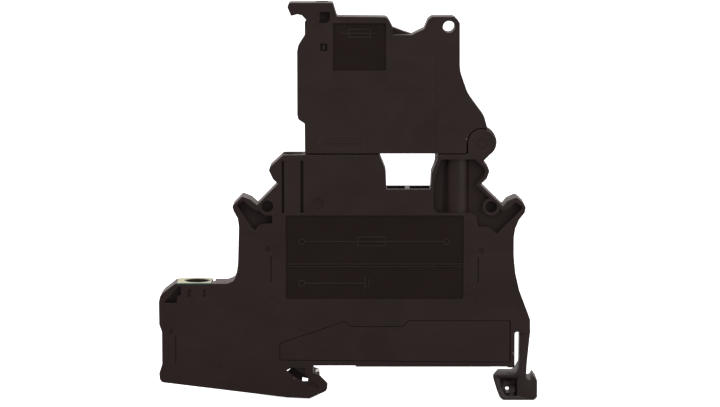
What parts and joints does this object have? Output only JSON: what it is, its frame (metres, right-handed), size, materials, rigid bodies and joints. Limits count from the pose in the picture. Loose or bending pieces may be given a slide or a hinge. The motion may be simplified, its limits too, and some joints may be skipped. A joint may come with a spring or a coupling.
{
  "type": "lever fuse terminal block",
  "caption": "Slim DIN-rail terminal block with a hinged fuse lever, screw clamps, a sprung rail foot and an earth terminal.",
  "frame": {"origin": "middle of the 35 mm rail on the rail seat plane, midway through the block's 6.2 mm thickness", "axes": "+Z away from the rail, +X along the block towards the lever hinge and sprung foot, +Y along the rail from the front face to the rear cover"},
  "size_m": [0.0685, 0.0075, 0.072],
  "materials": {
    "black_housing": "satin moulded polyamide",
    "black_cover": "satin moulded polyamide",
    "black_insert": "satin moulded polyamide",
    "black_latch": "satin moulded polyamide",
    "black_lever": "satin moulded polyamide",
    "tinned_copper": "tin plated copper",
    "zinc_steel": "zinc plated",
    "zinc_screw": "zinc plated",
    "spring_steel": "cold rolled",
    "nickel_cap": "nickel plated brass",
    "fuse_element": "tinned wire with solder beads",
    "fuse_glass": "clear",
    "earth_yellow_green": "satin moulded polyamide"
  },
  "bodies": {
    "block": {"housing": "black_housing", "rear_cover": "black_cover", "foot_bay_cover": "black_insert", "earth_marker": "earth_yellow_green", "left_current_bar": "tinned_copper", "right_current_bar": "tinned_copper", "left_contact_fork": "tinned_copper", "right_contact_fork": "tinned_copper", "earth_strip": "tinned_copper", "earth_foot_spring": "spring_steel"},
    "rail_foot": {"rail_foot_latch": "black_latch"},
    "lever": {"lever_front_shell": "black_lever", "lever_rear_shell": "black_lever", "left_lever_blade": "tinned_copper", "right_lever_blade": "tinned_copper", "fuse_glass_tube": "fuse_glass", "fuse_cap_left": "nickel_cap", "fuse_cap_right": "nickel_cap", "fuse_wire": "fuse_element"},
    "left_screw_body": {"left_screw": "zinc_screw"},
    "right_screw_body": {"right_screw": "zinc_screw"},
    "pe_screw_body": {"pe_screw": "zinc_screw"},
    "left_clamp_body": {"left_clamp_sleeve": "zinc_steel"},
    "right_clamp_body": {"right_clamp_sleeve": "zinc_steel"},
    "pe_clamp_body": {"pe_clamp_sleeve": "zinc_steel"}
  },
  "joints": [
    {"name": "lever_hinge", "type": "hinge", "parent": "block", "child": "lever", "pos_m": [0.01275, 0, 0.04072], "axis": [0, 1, 0], "range_deg": [0, 105]},
    {"name": "rail_foot_flex", "type": "hinge", "parent": "block", "child": "rail_foot", "pos_m": [0.02071, 0, 0.0064], "axis": [0, -1, 0], "range_deg": [0, 6]},
    {"name": "left_screw_turn", "type": "hinge", "parent": "block", "child": "left_screw_body", "pos_m": [-0.02125, 0, 0.026], "axis": [0, 0, -1], "range_deg": [0, 2165]},
    {"name": "right_screw_turn", "type": "hinge", "parent": "block", "child": "right_screw_body", "pos_m": [0.0084, 0, 0.026], "axis": [0, 0, -1], "range_deg": [0, 2165]},
    {"name": "pe_screw_turn", "type": "hinge", "parent": "block", "child": "pe_screw_body", "pos_m": [-0.03864, 0, 0.012], "axis": [0, 0, -1], "range_deg": [0, 2165]},
    {"name": "left_clamp_lift", "type": "slide", "parent": "block", "child": "left_clamp_body", "axis": [0, 0, 1], "range_m": [0, 0.003]},
    {"name": "right_clamp_lift", "type": "slide", "parent": "block", "child": "right_clamp_body", "axis": [0, 0, 1], "range_m": [0, 0.003]},
    {"name": "pe_clamp_lift", "type": "slide", "parent": "block", "child": "pe_clamp_body", "axis": [0, 0, 1], "range_m": [0, 0.003]}
  ],
  "couplings": [
    {"joint": "left_screw_turn", "follows": "left_clamp_lift", "rad_per_m": 12566},
    {"joint": "right_screw_turn", "follows": "right_clamp_lift", "rad_per_m": 12566},
    {"joint": "pe_screw_turn", "follows": "pe_clamp_lift", "rad_per_m": 12566}
  ]
}
